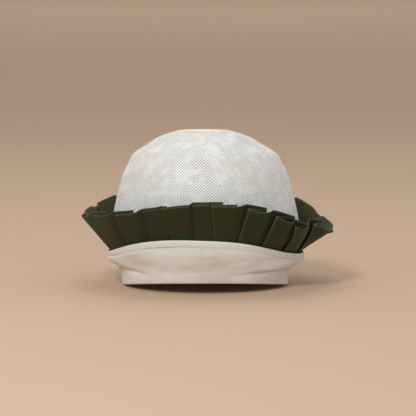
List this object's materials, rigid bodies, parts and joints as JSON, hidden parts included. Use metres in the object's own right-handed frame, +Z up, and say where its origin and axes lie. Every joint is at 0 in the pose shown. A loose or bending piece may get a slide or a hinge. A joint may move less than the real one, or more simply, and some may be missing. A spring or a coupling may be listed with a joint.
{
  "type": "frilled cook's cap",
  "caption": "Soft cook's cap with a low rounded two-panel crown, a pleated frill standing out from the seam and a folded head band.",
  "frame": {"origin": "on the table, under the middle of the cap as it stands on its hem", "axes": "+X to the right of the cap's front as one looks at it, +Y to its back, +Z up"},
  "size_m": [0.2726, 0.2178, 0.1715],
  "materials": {
    "crown_weave": "open textured off-white weave, matt",
    "lining": "fine plain lining, matt",
    "frill_cotton": "dark olive cotton poplin, pressed pleats",
    "band_jersey": "soft cream brushed cotton jersey",
    "facing_jersey": "soft cream cotton, inside of the band",
    "interlining": "soft white interlining",
    "tape": "narrow cream cotton tape",
    "thread": "cream sewing thread",
    "label": "blank woven label"
  },
  "bodies": {
    "root": {"crown_front": "crown_weave", "crown_back": "crown_weave", "crown_lining_front": "lining", "crown_lining_back": "lining", "crown_seam_stitches": "thread", "frill_front": "frill_cotton", "frill_back": "frill_cotton", "band_front": "band_jersey", "band_back": "band_jersey", "band_facing_front": "facing_jersey", "band_facing_back": "facing_jersey", "band_interlining_front": "interlining", "band_interlining_back": "interlining", "seam_tape_front": "tape", "seam_tape_back": "tape", "seam_tape_upper_stitches": "thread", "seam_tape_lower_stitches": "thread", "band_side_seam_stitches": "thread", "facing_side_seam_stitches": "thread", "size_label": "label", "size_label_stitches": "thread"}
  },
  "joints": []
}
